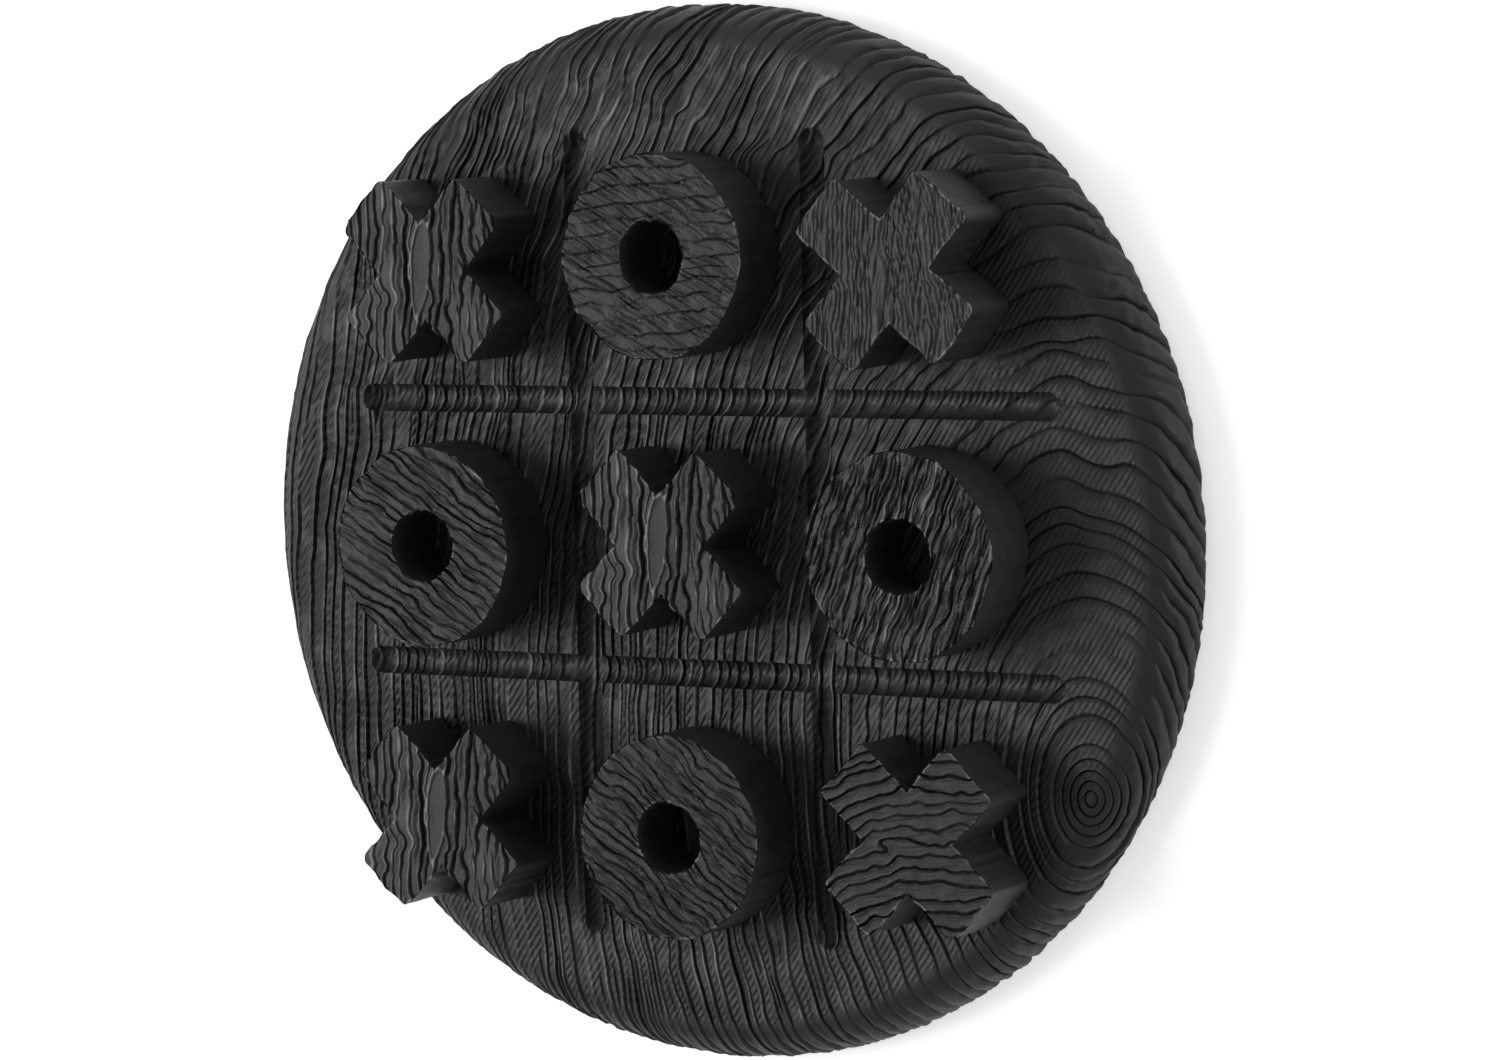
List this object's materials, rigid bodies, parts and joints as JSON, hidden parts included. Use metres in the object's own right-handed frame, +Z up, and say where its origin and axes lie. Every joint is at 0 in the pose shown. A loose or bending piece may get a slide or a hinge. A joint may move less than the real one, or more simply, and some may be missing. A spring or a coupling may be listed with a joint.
{
  "type": "tic tac toe set",
  "caption": "Round tabletop tic tac toe board in matt black carved-grain finish, with grid grooves and loose X and O playing pieces standing in its cells.",
  "frame": {"origin": "centre of the round board on the surface that the felt pads stand on", "axes": "+Z up out of the playing face, +X right along a row of cells, +Y up a column of cells"},
  "size_m": [0.3599, 0.36, 0.0475],
  "materials": {
    "board_black": "matt black cast resin with carved wood grain",
    "piece_black": "matt black cast resin with carved wood grain",
    "pad_felt": "pressed felt"
  },
  "bodies": {
    "board": {"board": "board_black", "felt_pad_back_right": "pad_felt", "felt_pad_back_left": "pad_felt", "felt_pad_front_left": "pad_felt", "felt_pad_front_right": "pad_felt"},
    "x_top_left": {"x_piece_top_left": "piece_black"},
    "x_top_right": {"x_piece_top_right": "piece_black"},
    "x_centre": {"x_piece_centre": "piece_black"},
    "x_bottom_left": {"x_piece_bottom_left": "piece_black"},
    "x_bottom_right": {"x_piece_bottom_right": "piece_black"},
    "o_top": {"o_piece_top": "piece_black"},
    "o_left": {"o_piece_left": "piece_black"},
    "o_right": {"o_piece_right": "piece_black"},
    "o_bottom": {"o_piece_bottom": "piece_black"}
  },
  "joints": [
    {"name": "lift_x_top_left", "type": "slide", "parent": "board", "child": "x_top_left", "axis": [0, 0, 1], "range_m": [0, 0.06]},
    {"name": "lift_x_top_right", "type": "slide", "parent": "board", "child": "x_top_right", "axis": [0, 0, 1], "range_m": [0, 0.06]},
    {"name": "lift_x_centre", "type": "slide", "parent": "board", "child": "x_centre", "axis": [0, 0, 1], "range_m": [0, 0.06]},
    {"name": "lift_x_bottom_left", "type": "slide", "parent": "board", "child": "x_bottom_left", "axis": [0, 0, 1], "range_m": [0, 0.06]},
    {"name": "lift_x_bottom_right", "type": "slide", "parent": "board", "child": "x_bottom_right", "axis": [0, 0, 1], "range_m": [0, 0.06]},
    {"name": "lift_o_top", "type": "slide", "parent": "board", "child": "o_top", "axis": [0, 0, 1], "range_m": [0, 0.06]},
    {"name": "lift_o_left", "type": "slide", "parent": "board", "child": "o_left", "axis": [0, 0, 1], "range_m": [0, 0.06]},
    {"name": "lift_o_right", "type": "slide", "parent": "board", "child": "o_right", "axis": [0, 0, 1], "range_m": [0, 0.06]},
    {"name": "lift_o_bottom", "type": "slide", "parent": "board", "child": "o_bottom", "axis": [0, 0, 1], "range_m": [0, 0.06]}
  ]
}
